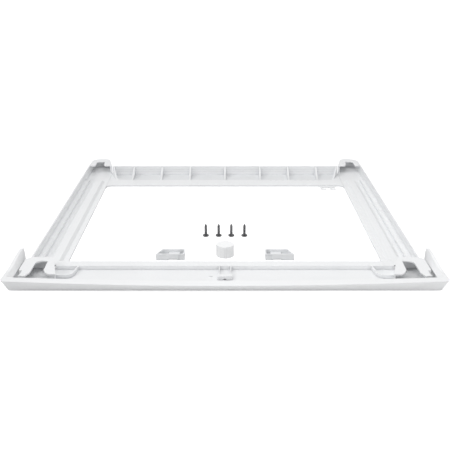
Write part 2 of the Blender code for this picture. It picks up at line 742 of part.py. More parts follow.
def make_front_clips():
    notch_x, notch_rear, notch_back, notch_front, notch_end = CLIP_NOTCH_SHARES
    sides = [
        clip_place(notch_x, notch_back),
        clip_place(1, notch_rear),
        clip_place(1, CLIP_SHOULDER_SHARE),
        clip_place(CLIP_REAR_OUTER_SHARE, 0),
        clip_place(CLIP_REAR_INNER_SHARE, 0),
    ]
    radii = (CLIP_EDGE_RADIUS, CLIP_EDGE_RADIUS, CLIP_CORNER_RADIUS, CLIP_CORNER_RADIUS, CLIP_CORNER_RADIUS)
    nose = [
        clip_place(*CLIP_FRONT_TOE_SHARES),
        clip_place(*CLIP_FRONT_INNER_SHARES),
        clip_place(*CLIP_FRONT_OUTER_SHARES),
        clip_place(1, notch_end),
        clip_place(notch_x, notch_front),
    ]
    outline = rounded([(corner, CLIP_EDGE_RADIUS) for corner in nose] + list(zip(sides, radii)))
    clip = outline_solid("right_front_foot_clip", outline, TRAY_FLOOR + SEAM_GAP, CLIP_HEIGHT)

    toe = Vector(nose[0])
    flare = (toe - Vector(sides[-1])).normalized()
    past_toe = toe + flare * (clip_length * (1 - CLIP_FRONT_TOE_SHARES[1]) + CLIP_WALL * 2)
    mouth = [tuple(past_toe), (sides[0][0], past_toe.y)]
    hollow = outline_solid(
        "right_clip_hollow", inset(mouth + sides, CLIP_WALL),
        -CUT_OVERRUN, CLIP_HEIGHT - CLIP_PLATE)

    slot_outer = clip_outer_x - CLIP_SLOT_SIDE_INSET
    slot_inner = slot_outer - CLIP_SLOT_WIDTH
    head = clip_rear_y - CLIP_SLOT_HEAD
    beyond = clip_front_y - CUT_OVERRUN
    outer_flare_y = clip_place(0, CLIP_SLOT_OUTER_FLARE_SHARE)[1]
    inner_flares = []
    for out, share in zip(CLIP_SLOT_INNER_FLARES, CLIP_SLOT_INNER_FLARE_SHARES):
        inner_flares.append(((slot_inner - out, clip_place(0, share)[1]), 0))
    slot_corners = [
        ((slot_inner - CLIP_SLOT_INNER_FLARES[-1], beyond), 0),
        ((slot_outer + CLIP_SLOT_OUTER_FLARE, beyond), 0),
        ((slot_outer, outer_flare_y), 0),
        ((slot_outer, head), CLIP_SLOT_OUTER_RADIUS),
        ((slot_inner, head), CLIP_SLOT_INNER_RADIUS),
    ] + inner_flares
    slot = outline_solid(
        "right_clip_slot", rounded(slot_corners),
        CLIP_HEIGHT - CLIP_PLATE - CUT_OVERRUN, CLIP_HEIGHT + CUT_OVERRUN)
    cut(clip, hollow, slot)
    finish_part(mirrored(clip, "left_front_foot_clip"), WHITE_PLASTIC)
    finish_part(clip, WHITE_PLASTIC)


# Hoods for the rear feet


def make_rear_hoods():
    corners = [
        (hood_inner_x, hood_front_y),
        (rail_outer_x, hood_front_y),
        (rail_outer_x - HOOD_OUTER_LEAN, rear_y),
        (hood_inner_x + HOOD_INNER_LEAN, rear_y),
    ]
    radii = (0, 0, HOOD_OUTER_RADIUS, HOOD_INNER_RADIUS)
    hood = outline_solid("right_rear_foot_hood", rounded(list(zip(corners, radii))), 0, HOOD_HEIGHT)
    hollow_radii = (0, 0, HOOD_OUTER_RADIUS - HOOD_WALL, HOOD_INNER_RADIUS - HOOD_WALL)
    mouth = CUT_OVERRUN + HOOD_WALL
    open_corners = [(corners[0][0], hood_front_y - mouth), (corners[1][0], hood_front_y - mouth)]
    hollow_corners = inset(open_corners + corners[2:], HOOD_WALL)
    hollow = outline_solid(
        "right_hood_hollow", rounded(list(zip(hollow_corners, hollow_radii))),
        RAIL_FLOOR, HOOD_HEIGHT - HOOD_PLATE)
    notch_outer = rail_outer_x - HOOD_NOTCH_SIDE_INSET
    notch_inner = notch_outer - HOOD_NOTCH_WIDTH
    notch_rear = hood_front_y + HOOD_NOTCH_DEPTH
    beyond = hood_front_y - CUT_OVERRUN
    notch_corners = [
        ((notch_inner - HOOD_NOTCH_FLARE, beyond), 0),
        ((notch_outer, beyond), 0),
        ((notch_outer, notch_rear), HOOD_NOTCH_OUTER_RADIUS),
        ((notch_inner, notch_rear), HOOD_NOTCH_INNER_RADIUS),
        ((notch_inner, hood_front_y + HOOD_NOTCH_FLARE_DEPTH), 0),
    ]
    notch = outline_solid(
        "right_hood_notch", rounded(notch_corners),
        HOOD_HEIGHT - HOOD_PLATE - CUT_OVERRUN, HOOD_HEIGHT + CUT_OVERRUN)
    cut(hood, hollow, notch)
    finish_part(mirrored(hood, "left_rear_foot_hood"), WHITE_PLASTIC)
    finish_part(hood, WHITE_PLASTIC)


# Rear rail


def ledge_outline():
    """Plan of the rear rail, with fillets where the opening's sides begin."""
    half = rail_inner_x - SEAM_GAP
    fillet_x = half - LEDGE_FILLET
    fillet_y = ledge_front_y - LEDGE_FILLET
    start = LEDGE_FILLET_LEAD_ANGLE
    curve = arc((fillet_x, fillet_y), LEDGE_FILLET, math.pi / 2, start)
    tab_x = wall_end_x - GUIDE_THICKNESS
    right = curve + [
        (half, curve[-1][1]),
        (half, hood_front_y - SEAM_GAP),
        (tab_x, hood_front_y - SEAM_GAP),
        (tab_x, wall_rear_y),
    ]
    return right + [(-across, along) for across, along in reversed(right)]


def guide_line():
    """Places in plan and top heights along the right-hand guide rib, which starts sunk."""
    end_x = rail_inner_x - SEAM_GAP * 2 - GUIDE_THICKNESS / 2
    end_y = hood_front_y - SEAM_GAP
    bend_x = end_x - GUIDE_HEAD_LEAN
    bend_y = end_y - GUIDE_HEAD_LENGTH
    top = REAR_WALL_HEIGHT - GUIDE_DROP
    return (
        (bend_x - GUIDE_SLOPE_LEAN, bend_y - GUIDE_SLOPE_LENGTH, RAIL_FLOOR / 2),
        (bend_x, bend_y, top),
        (end_x, end_y, top),
    )


def guide_rib(name):
    """Slanted rib on the corner floor beside the pocket, on the right-hand side."""
    half = GUIDE_THICKNESS / 2
    low = POCKET_FLOOR / 2
    rings = []
    for across, along, top in guide_line():
        ring = [(-half, low), (half, low), (half, top), (-half, top)]
        rings.append([(across + offset, along, height) for offset, height in ring])
    return loft(name, rings)


def make_rear_rail():
    rail = outline_solid("rear_rail", ledge_outline(), 0, RAIL_FLOOR)
    start, bend, _ = guide_line()
    beside_guide = [(start[0], ledge_rear_y), start[:2], bend[:2], (wall_end_x, wall_middle_y)]
    side = [(across - GUIDE_THICKNESS, along) for across, along in beside_guide]
    pocket_outline = side + [(-across, along) for across, along in reversed(side)]
    pocket = outline_solid("rear_pocket", pocket_outline, POCKET_FLOOR, RAIL_FLOOR + CUT_OVERRUN)
    wall = box(
        "rear_wall", (-wall_end_x, wall_front_y, POCKET_FLOOR / 2),
        (wall_end_x, wall_rear_y, REAR_WALL_HEIGHT))
    cut(rail, pocket)
    add(rail, wall)
    groove_x = wall_end_x - GUIDE_THICKNESS * 2
    for number, level in enumerate(WALL_GROOVE_LEVELS, 1):
        groove = box(
            f"wall_groove_{number}",
            (-groove_x, wall_front_y - CUT_OVERRUN, level - WALL_GROOVE_HEIGHT / 2),
            (groove_x, wall_front_y + WALL_GROOVE_DEPTH, level + WALL_GROOVE_HEIGHT / 2))
        cut(rail, groove)
    peak = REAR_WALL_HEIGHT - GUSSET_DROP
    slope = (peak - RAIL_FLOOR) / (POCKET_LENGTH + GUSSET_TOE)
    sunk = POCKET_FLOOR / 2
    gusset_start = ledge_rear_y - GUSSET_TOE - (RAIL_FLOOR - POCKET_FLOOR) / slope
    section = [
        (gusset_start, sunk),
        (wall_middle_y, sunk),
        (wall_middle_y, peak),
        (wall_front_y, peak),
        (gusset_start, POCKET_FLOOR),
    ]
    for number, share in enumerate(GUSSET_SHARES, 1):
        middle = wall_end_x * share
        half = GUSSET_THICKNESS / 2
        add(rail, along_x(f"gusset_{number}", section, middle - half, middle + half))
    right_guide = guide_rib("right_guide_rib")
    add(rail, right_guide, mirrored(right_guide, "left_guide_rib"))
    for number, share in enumerate(LEDGE_NOTCH_SHARES, 1):
        middle = wall_end_x * share
        notch = box(
            f"ledge_notch_{number}",
            (middle - LEDGE_NOTCH_LENGTH / 2, ledge_rear_y - LEDGE_NOTCH_DEPTH, POCKET_FLOOR),
            (middle + LEDGE_NOTCH_LENGTH / 2, ledge_rear_y + CUT_OVERRUN, RAIL_FLOOR + CUT_OVERRUN))
        cut(rail, notch)
    finish_part(rail, WHITE_PLASTIC)


# Small pieces of the frame


def make_centre_catch():
    low = TRAY_FLOOR + SEAM_GAP
    rear = band_front_y - SEAM_GAP
    block_rear = rear - CATCH_WALL_LENGTH
    block_front = block_rear - CATCH_BLOCK_LENGTH
    half = CATCH_WIDTH / 2
    notch = CATCH_NOTCH_WIDTH / 2
    section = [
        (-half, low), (-notch, low), (0, low + CATCH_NOTCH_HEIGHT), (notch, low),
        (half, low), (half, BAND_HEIGHT), (-half, BAND_HEIGHT),
    ]
    catch = along_y("centre_catch", section, block_front, block_rear)
    for name, side in (("left", -1), ("right", 1)):
        middle = CATCH_WALL_SPACING / 2 * side
        wall = box(
            name + "_catch_wall",
            (middle - CATCH_WALL / 2, block_rear - CATCH_BLOCK_LENGTH / 2, low),
            (middle + CATCH_WALL / 2, rear, BAND_HEIGHT))
        add(catch, wall)
    finish_part(catch, WHITE_PLASTIC)


def make_cable_clip():
    rear = ledge_front_y - SEAM_GAP
    bar_front = rear - CABLE_CLIP_BAR
    tip = bar_front - CABLE_CLIP_FINGER_LENGTH
    right = rail_inner_x - CABLE_CLIP_SIDE_SETBACK
    left = right - CABLE_CLIP_WIDTH
    finger = CABLE_CLIP_FINGER_WIDTH
    toe = CABLE_CLIP_TOE_LENGTH
    toe_rear = tip + CABLE_CLIP_TOE_WIDTH
    second = right - finger - toe
    turn = CABLE_CLIP_TOE_WIDTH / 2 - SEAM_GAP
    outline = rounded([
        ((left, tip), CABLE_CLIP_RADIUS),
        ((left + finger + toe, tip), turn),
        ((left + finger + toe, toe_rear), turn),
        ((left + finger, toe_rear), turn),
        ((left + finger, bar_front), turn),
        ((second, bar_front), turn),
        ((second, tip), CABLE_CLIP_RADIUS),
        ((right, tip), turn),
        ((right, toe_rear), turn),
        ((second + finger, toe_rear), turn),
        ((second + finger, bar_front), turn),
        ((right, bar_front), turn),
        ((right, rear), 0),
        ((left, rear), 0),
    ])
    clip = outline_solid("cable_clip", outline, SEAM_GAP, RAIL_FLOOR - CABLE_CLIP_DROP)
    finish_part(clip, WHITE_PLASTIC)


# Loose pieces


def make_brackets():
    length = BRACKET_LENGTH
    width = BRACKET_WIDTH
    wall = BRACKET_WALL
    corners = [(0, 0), (length, 0), (length - BRACKET_SLANT, width), (0, width)]
    bracket = outline_solid(
        "right_bracket", rounded([(corner, wall / 2) for corner in corners]), 0, BRACKET_HEIGHT)
    pocket_corners = inset(corners, wall)
    pocket = outline_solid(
        "bracket_pocket", pocket_corners, BRACKET_PLATEAU_HEIGHT, BRACKET_HEIGHT + CUT_OVERRUN)
    plateau_end = BRACKET_PLATEAU_START + BRACKET_PLATEAU_LENGTH
    inner_well = box(
        "bracket_inner_well", (wall, wall, BRACKET_FLOOR),
        (BRACKET_PLATEAU_START, width - wall, BRACKET_HEIGHT - wall))
    outer_corners = [(plateau_end, wall)] + pocket_corners[1:3] + [(plateau_end, width - wall)]
    outer_well = outline_solid(
        "bracket_outer_well", outer_corners, BRACKET_FLOOR, BRACKET_HEIGHT - wall)
    step = box(
        "bracket_step", (-CUT_OVERRUN, -CUT_OVERRUN, -CUT_OVERRUN),
        (BRACKET_STEP_LENGTH, BRACKET_STEP_DEPTH, BRACKET_HEIGHT - wall / 2))
    notch = box(
        "bracket_notch", (BRACKET_NOTCH_START, -CUT_OVERRUN, -CUT_OVERRUN),
        (BRACKET_NOTCH_START + BRACKET_NOTCH_LENGTH, BRACKET_NOTCH_DEPTH, BRACKET_NOTCH_HEIGHT))
    cut(bracket, pocket, inner_well, outer_well, step, notch)
    inner_hole = (wall + BRACKET_PLATEAU_START) / 2
    outer_hole = (plateau_end + length - BRACKET_SLANT / 2 - wall) / 2
    for name, across in (("inner", inner_hole), ("outer", outer_hole)):
        hole = cylinder(
            f"bracket_{name}_hole", (across, width / 2), BRACKET_HOLE_RADIUS,
            -CUT_OVERRUN, BRACKET_FLOOR + CUT_OVERRUN, SCREW_SIDES)
        cut(bracket, hole)
    left = mirrored(bracket, "left_bracket")
    place = Vector((BRACKET_INNER_SETBACK, front_y + BRACKET_FRONT_SETBACK, 0))
    for item in [child.object for child in bracket.modifiers]:
        item.location = place
    bracket.location = place
    left.location = (-place.x, place.y, 0)
    finish_part(left, GREY_PLASTIC)
    finish_part(bracket, GREY_PLASTIC)


def make_screws():
    thread_end = SCREW_LENGTH - SCREW_TIP_LENGTH
    profile = (
        (0, SCREW_LENGTH),
        (SCREW_TIP_RADIUS, SCREW_LENGTH),
        (SCREW_SHANK_RADIUS, thread_end),
        (SCREW_SHANK_RADIUS, SCREW_HEAD_HEIGHT),
        (SCREW_HEAD_RADIUS, SCREW_HEAD_HEIGHT),
        (SCREW_HEAD_RADIUS, SCREW_HEAD_DOME),
        (SCREW_HEAD_FLAT_RADIUS, 0),
        (0, 0),
    )
    mesh = bpy.data.meshes.new("screw")
    edges = [(index, index + 1) for index in range(len(profile) - 1)]
    mesh.from_pydata([(radius, 0, height) for radius, height in profile], edges, [])
    for number, across in enumerate(SCREW_ACROSS, 1):
        screw = new_object(f"screw_{number}", mesh.copy())
        turned = screw.modifiers.new("turned", "SCREW")
        turned.steps = SCREW_SIDES
        turned.render_steps = SCREW_SIDES
        turned.use_merge_vertices = True
        turned.merge_threshold = SEAM_GAP * MERGE_SHARE
        screw.location = (across, front_y + SCREW_ROW_SETBACK, 0)
        finish_part(screw, DARK_STEEL)
    bpy.data.meshes.remove(mesh)


def make_foot_cap():
    outline = []
    points = CAP_RIBS * 2
    for index in range(points):
        angle = -math.pi / 2 + math.tau * (index + 0.5) / points
        radius = CAP_RADIUS - CAP_KEY_HEIGHT - CAP_RIB_DEPTH * (index % 2)
        outline.append((radius * math.cos(angle), radius * math.sin(angle)))
    cap = outline_solid("foot_cap", outline, 0, CAP_HEIGHT)
    key = box(
        "cap_key", (-CAP_KEY_WIDTH / 2, -CAP_RADIUS, 0),
        (CAP_KEY_WIDTH / 2, -CAP_RADIUS + CAP_WALL, CAP_HEIGHT - CAP_TOP / 2))
    hollow = cylinder(
        "cap_hollow", (0, 0), CAP_RADIUS - CAP_KEY_HEIGHT - CAP_WALL,
        -CUT_OVERRUN, CAP_HEIGHT - CAP_TOP, CAP_RIBS)
    add(cap, key)
    cut(cap, hollow)
    place = (0, front_y + CAP_SETBACK, 0)
    for item in (cap, key, hollow):
        item.location = place
    finish_part(cap, WHITE_PLASTIC)


def smooth_round_pieces():
    """Shade the turned pieces smooth, with their real edges kept sharp."""
    for item in bpy.data.collections["stacking_kit"].objects:
        if item.name.startswith("screw"):
            item.data.shade_smooth()
            item.data.set_sharp_from_angle(angle=SHARP_ANGLE)


def main():
    start_scene()
    origin = bpy.data.objects.new("kit_origin", None)
    bpy.data.collections["stacking_kit"].objects.link(origin)
    make_side_rails()
    make_pads()
    make_front_tray()
    make_front_rail()
    make_front_trim()
    make_front_clips()
    make_rear_hoods()
    make_rear_rail()
    make_centre_catch()
    make_cable_clip()
    make_brackets()
    make_screws()
    make_foot_cap()
    smooth_round_pieces()


main()
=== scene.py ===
"""Looks of the washer dryer stacking kit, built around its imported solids."""

import json
import math

import bmesh
import bpy
from mathutils import Matrix, Vector


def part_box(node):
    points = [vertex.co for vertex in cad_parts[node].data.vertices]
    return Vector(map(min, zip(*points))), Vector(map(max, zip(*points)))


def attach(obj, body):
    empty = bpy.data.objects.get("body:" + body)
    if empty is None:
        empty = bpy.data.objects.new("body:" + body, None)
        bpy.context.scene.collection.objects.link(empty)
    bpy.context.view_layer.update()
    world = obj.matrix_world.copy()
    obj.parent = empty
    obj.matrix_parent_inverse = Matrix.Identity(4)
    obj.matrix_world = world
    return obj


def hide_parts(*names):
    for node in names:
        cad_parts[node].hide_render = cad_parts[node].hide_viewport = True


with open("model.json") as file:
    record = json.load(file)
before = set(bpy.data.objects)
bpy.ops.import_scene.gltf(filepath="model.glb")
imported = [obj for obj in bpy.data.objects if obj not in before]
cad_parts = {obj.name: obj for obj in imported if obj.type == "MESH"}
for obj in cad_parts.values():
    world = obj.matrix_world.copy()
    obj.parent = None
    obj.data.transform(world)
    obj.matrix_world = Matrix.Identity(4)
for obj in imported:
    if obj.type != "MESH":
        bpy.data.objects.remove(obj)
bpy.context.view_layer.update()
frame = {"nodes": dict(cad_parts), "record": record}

# Camera, matched to the photograph
CAMERA_PLACE = (0, -1.14025, 0.4336)
CAMERA_TILT = math.radians(68.635)
CAMERA_LENS_MM = 56.14
CAMERA_SENSOR_MM = 36

# Light: an even sky and soft lamps, each with its name, the way that it comes from and its energy
SKY_COLOUR = (0.985, 0.992, 1.0, 1)
SKY_LEVEL = 0.36
LAMP_SPREAD = math.radians(24)
LAMPS = (
    ("key", (-0.72, -0.35, 0.7), 0.78),
    ("side_light", (1.0, 0.0, 0.6), 0.14),
    ("back_light", (0.0, 0.9, 0.8), 0.20),
)
PANELS = (
    ("top_panel", (-0.05, -0.42, 1.25), 0.8, 6.0),
    ("low_panel", (0.6, -1.2, 0.22), 0.5, 2.4),
)

# Floor and backdrop
FLOOR_REACH = 12.0
FLOOR_COLOUR = (0.72, 0.72, 0.72, 1)
FLOOR_CLOUD_TONE = 0.99
FLOOR_CLOUDS = {"scale": 30, "detail": 3}
FLOOR_LIFT = 0.72
PURE_WHITE = (1, 1, 1, 1)
BACKDROP_LEVEL = 1.0

# Edges of the mouldings
WELD = 0.000002
FLAT_ANGLE = math.radians(0.6)
EDGE_ANGLE = math.radians(28)
EDGE_RADIUS = 0.0005
BRACKET_EDGE_RADIUS = 0.0004
PAD_EDGE_RADIUS = 0.0003
EDGE_STEPS = 3

# Colours and roughness of the plastics
WHITE_COLOUR = (0.915, 0.922, 0.93, 1)
TRIM_COLOUR = (0.925, 0.93, 0.937, 1)
CAP_COLOUR = (0.962, 0.965, 0.97, 1)
GREY_COLOUR = (0.895, 0.905, 0.915, 1)
WHITE_ROUGHNESS = 0.40
TRIM_ROUGHNESS = 0.36
GREY_ROUGHNESS = 0.44

# Wear, dust and painted shade of the plastics; an edge is the span of values over which a mask sets in
PLASTIC_IOR = 1.49
CLOUDS = {"scale": 11, "detail": 3}
CLOUD_TONE = 0.98
CLOUD_EDGE = (0.35, 0.65)
SHINE_EDGE = (0.3, 0.7)
SHINE_SPAN = (-0.04, 0.05)
GRAIN = {"scale": 2400, "detail": 2}
GRAIN_BUMP = (0.35, 0.00003)
SINK_MARKS = {"scale": 26, "detail": 1}
SINK_BUMP = (0.25, 0.0004)
RUB_MARKS = {"scale": 1, "detail": 2}
RUB_RUNS = (
    ((900, 60, 300), (0, 0, 0.5), (0.66, 0.74)),
    ((60, 1100, 300), (0, 0, -0.3), (0.67, 0.75)),
)
RUB_ROUGHNESS = 0.10
RUB_BUMP = (0.15, 0.00002)
LYING_EDGE = (0.5, 1.0)
DUST_COLOUR = (0.62, 0.60, 0.57, 1)
DUST_SPECKS = {"scale": 420, "detail": 4, "roughness": 0.7}
DUST_EDGE = (0.56, 0.72)
DUST_SHARE = 0.12
# Painted shade: corners that the ambient occlusion finds closed in are darkened towards this grey
PAINTED_SHADE_COLOUR = (0.50, 0.51, 0.53, 1)
CORNER_REACH = 0.007
CORNER_SAMPLES = 8
CORNER_SHADE_EDGE = (0.35, 0.85)
CORNER_SHADE_SHARE = 0.36
# Painted shade: lying faces of the rear rail's low pockets are darkened evenly
POCKET_SHADE_FADE = 0.0004
POCKET_SHADE_SHARE = 0.22
POCKET_SHADE_HEIGHT = 0.0022

# Steel of the screws
STEEL_DARK = (0.045, 0.045, 0.048, 1)
STEEL_PALE = (0.15, 0.15, 0.155, 1)
STEEL_ROUGHNESS = (0.48, 0.30)
PATCHES = {"scale": 520, "detail": 4, "roughness": 0.6}
PATCH_EDGE = (0.35, 0.68)
PATCH_BUMP = (0.2, 0.00004)
TURNING_STRETCH = (500, 500, 9000)
TURNING_MARKS = {"scale": 1, "detail": 2}
TURNING_BUMP = (0.3, 0.00002)

# Rubber of the pads
RUBBER_COLOUR = (0.045, 0.045, 0.047, 1)
RUBBER_ROUGHNESS = (0.72, 0.86)
RUBBER_IOR = 1.5
PEBBLE_SCALE = 1400
PEBBLE_BUMP = (0.4, 0.0001)
LINT_COLOUR = (0.12, 0.12, 0.12, 1)
LINT = {"scale": 300, "detail": 4, "roughness": 0.7}
LINT_EDGE = (0.58, 0.74)

# Screws: the head's profile is in shares of its radius and in heights
HEAD_HEIGHT = 0.0026
HEAD_PROFILE = (
    (0.60, 0.0), (0.80, 0.0), (0.90, 0.00045), (0.975, 0.0010), (1.0, 0.0016), (0.985, 0.0021),
    (0.93, 0.0025), (0.86, HEAD_HEIGHT))
NECK_PROFILE = ((1.25, HEAD_HEIGHT), (1.02, 0.0028))
NECK_SHARE = 0.35
SCREW_SIDES = 28
SCREW_SHARP_ANGLE = math.radians(38)
THREAD_RADIUS = 0.0024
THREAD_PITCH = 0.0018
THREAD_DEPTH = 0.00045
THREAD_STEPS = 8
THREAD_HALF_WIDTH = 0.26
TIP_LENGTH = 0.0036
TIP_SHARE = 0.55
TIP_CURVE = 0.8
TIP_THREAD_SHARE = 0.25
CROSS_LENGTH = 0.0052
CROSS_WIDTH = 0.0011
CROSS_DEPTH = 0.0016
CROSS_OVERRUN = 0.0002
CROSS_MOUTH_SHARE = 1.04
CROSS_FLOOR_SHARE = 0.45

# Sockets of the colour mix, which share their names
MIX_SHARE = 0
MIX_FIRST = 6
MIX_SECOND = 7
MIX_RESULT = 2


def add_object(name, data):
    item = bpy.data.objects.new(name, data)
    bpy.context.scene.collection.objects.link(item)
    return item


def piece_mesh(name, form):
    """New object from a finished bmesh, which is freed."""
    mesh = bpy.data.meshes.new(name)
    form.to_mesh(mesh)
    form.free()
    return add_object(name, mesh)


def shade_smooth(piece):
    piece.data.polygons.foreach_set("use_smooth", [True] * len(piece.data.polygons))


def place_piece(piece, body, node, material):
    """The piece rides on its body and stands for its CAD node."""
    piece.data.materials.clear()
    piece.data.materials.append(material)
    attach(piece, body)
    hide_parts(node)


def rounded_copy(node, radius):
    """Copy of a CAD node whose flat faces are whole and whose edges are rounded."""
    form = bmesh.new()
    form.from_mesh(frame["nodes"][node].data)
    bmesh.ops.remove_doubles(form, verts=form.verts, dist=WELD)
    bmesh.ops.dissolve_limit(
        form, angle_limit=FLAT_ANGLE, verts=form.verts, edges=form.edges)
    piece = piece_mesh(node + "_moulding", form)
    shade_smooth(piece)
    edge = piece.modifiers.new("rounded_edges", "BEVEL")
    edge.width = radius
    edge.segments = EDGE_STEPS
    edge.limit_method = "ANGLE"
    edge.angle_limit = EDGE_ANGLE
    edge.miter_outer = "MITER_ARC"
    edge.harden_normals = False
    even = piece.modifiers.new("even_shading", "WEIGHTED_NORMAL")
    even.keep_sharp = True
    return piece


# Shader nodes


def set_sockets(tree, made, sockets):
    """A socket takes a value or the output that feeds it."""
    for socket, value in sockets.items():
        if isinstance(value, bpy.types.NodeSocket):
            tree.links.new(value, made.inputs[socket])
        else:
            made.inputs[socket].default_value = value


def add_node(tree, kind, sockets=None, **settings):
    made = tree.nodes.new(kind)
    for name, value in settings.items():
        setattr(made, name, value)
    set_sockets(tree, made, sockets or {})
    return made


def new_material(name):
    """Empty material, its node tree and the place on the piece."""
    material = bpy.data.materials.new(name)
    material.use_nodes = True
    tree = material.node_tree
    tree.nodes.clear()
    return material, tree, add_node(tree, "ShaderNodeTexCoord").outputs["Object"]


def noise(tree, place, scale, detail=2.0, roughness=0.5):
    return add_node(
        tree, "ShaderNodeTexNoise",
        {"Vector": place, "Scale": scale, "Detail": detail, "Roughness": roughness}).outputs["Fac"]


def ramp(tree, value, low, high, to_low, to_high):
    return add_node(
        tree, "ShaderNodeMapRange",
        {"Value": value, "From Min": low, "From Max": high, "To Min": to_low, "To Max": to_high},
        interpolation_type="SMOOTHSTEP").outputs["Result"]


def calculate(tree, operation, *values):
    return add_node(tree, "ShaderNodeMath", dict(enumerate(values)), operation=operation).outputs[0]


def height_of(tree, vector):
    return add_node(tree, "ShaderNodeSeparateXYZ", {0: vector}).outputs["Z"]


def mix_colour(tree, share, first, second):
    made = add_node(tree, "ShaderNodeMix", data_type="RGBA")
    set_sockets(tree, made, {MIX_SHARE: share, MIX_FIRST: first, MIX_SECOND: second})
    return made.outputs[MIX_RESULT]


def stretched(tree, place, scale, turn=(0, 0, 0)):
    """The place, turned and stretched, for marks that run one way."""
    return add_node(
        tree, "ShaderNodeMapping",
        {"Vector": place, "Scale": scale, "Rotation": turn}).outputs["Vector"]


def bump(tree, height, strength, distance, below=None):
    """Bumps, on top of the bumps below if there are any."""
    sockets = {"Height": height, "Strength": strength, "Distance": distance}
    if below is not None:
        sockets["Normal"] = below
    return add_node(tree, "ShaderNodeBump", sockets).outputs["Normal"]


def finish_material(tree, sockets):
    shader = add_node(tree, "ShaderNodeBsdfPrincipled", sockets)
    add_node(tree, "ShaderNodeOutputMaterial", {"Surface": shader.outputs[0]})


def seen_directly(tree):
    """One for rays from the camera, off gloss and through glass, nought for the rest."""
    rays = add_node(tree, "ShaderNodeLightPath").outputs
    gloss = calculate(tree, "MAXIMUM", rays["Is Camera Ray"], rays["Is Glossy Ray"])
    return calculate(tree, "MAXIMUM", gloss, rays["Is Transmission Ray"])


# Materials


def moulded_plastic(name, colour, roughness, own_corners=False, shade_height=None):
    """Satin moulded plastic: flow clouds, fine grain, rub marks, dust on top and painted shade in
    corners.

    With own_corners, the painted corner shade comes only from the piece's own form, not from what
    stands beside it. Faces that lie up and are lower than the given height get an even painted shade
    as well.
    """
    material, tree, place = new_material(name)
    clouds = noise(tree, place, **CLOUDS)
    runs = [
        ramp(tree, noise(tree, stretched(tree, place, scale, turn), **RUB_MARKS), *edge, 0, 1)
        for scale, turn, edge in RUB_RUNS]
    marks = calculate(tree, "MAXIMUM", *runs)
    facing = add_node(tree, "ShaderNodeNewGeometry").outputs["Normal"]
    lying = ramp(tree, height_of(tree, facing), *LYING_EDGE, 0, 1)
    specks = ramp(tree, noise(tree, place, **DUST_SPECKS), *DUST_EDGE, 0, 1)
    settled = calculate(tree, "MULTIPLY", lying, specks)
    cloudy = tuple(part * CLOUD_TONE for part in colour[:3]) + (1,)
    toned = mix_colour(tree, ramp(tree, clouds, *CLOUD_EDGE, 0, 1), cloudy, colour)
    dust_and_shade = mix_colour(tree, ramp(tree, settled, 0, 1, 0, DUST_SHARE), toned, DUST_COLOUR)
    # Painted shade: the colour darkens towards a grey where the ambient occlusion finds corners
    openness = add_node(
        tree, "ShaderNodeAmbientOcclusion", {"Distance": CORNER_REACH},
        samples=CORNER_SAMPLES, only_local=own_corners).outputs["AO"]
    corner_shade = ramp(tree, openness, *CORNER_SHADE_EDGE, CORNER_SHADE_SHARE, 0)
    dust_and_shade = mix_colour(tree, corner_shade, dust_and_shade, PAINTED_SHADE_COLOUR)
    # Painted shade: lying faces below the given height are darkened evenly
    if shade_height is not None:
        sunk = ramp(
            tree, height_of(tree, place), shade_height - POCKET_SHADE_FADE, shade_height, POCKET_SHADE_SHARE, 0)
        pocket_shade = calculate(tree, "MULTIPLY", lying, sunk)
        dust_and_shade = mix_colour(tree, pocket_shade, dust_and_shade, PAINTED_SHADE_COLOUR)
    shine = ramp(tree, clouds, *SHINE_EDGE, *(roughness + step for step in SHINE_SPAN))
    worn = calculate(tree, "MULTIPLY_ADD", marks, RUB_ROUGHNESS, shine)
    normal = bump(tree, noise(tree, place, **SINK_MARKS), *SINK_BUMP)
    normal = bump(tree, noise(tree, place, **GRAIN), *GRAIN_BUMP, normal)
    normal = bump(tree, marks, *RUB_BUMP, normal)
    finish_material(
        tree, {"Base Color": dust_and_shade, "Roughness": worn, "Normal": normal, "IOR": PLASTIC_IOR})
    return material


def zinc_steel(name):
    """Dark plated steel with patchy plating and fine turning marks."""
    material, tree, place = new_material(name)
    patches = noise(tree, place, **PATCHES)
    turned = noise(tree, stretched(tree, place, TURNING_STRETCH), **TURNING_MARKS)
    colour = mix_colour(tree, ramp(tree, patches, *PATCH_EDGE, 0, 1), STEEL_DARK, STEEL_PALE)
    shine = ramp(tree, patches, *SHINE_EDGE, *STEEL_ROUGHNESS)
    normal = bump(tree, turned, *TURNING_BUMP)
    normal = bump(tree, patches, *PATCH_BUMP, normal)
    finish_material(
        tree, {"Base Color": colour, "Roughness": shine, "Normal": normal, "Metallic": 1.0})
    return material


def dark_rubber(name):
    """Matt rubber with a pebbled skin and pale lint on it."""
    material, tree, place = new_material(name)
    pebbles = add_node(
        tree, "ShaderNodeTexVoronoi", {"Vector": place, "Scale": PEBBLE_SCALE}).outputs["Distance"]
    lint = ramp(tree, noise(tree, place, **LINT), *LINT_EDGE, 0, 1)
    colour = mix_colour(tree, lint, RUBBER_COLOUR, LINT_COLOUR)
    shine = ramp(tree, pebbles, 0, 1, *RUBBER_ROUGHNESS)
    normal = bump(tree, pebbles, *PEBBLE_BUMP)
    finish_material(
        tree, {"Base Color": colour, "Roughness": shine, "Normal": normal, "IOR": RUBBER_IOR})
    return material


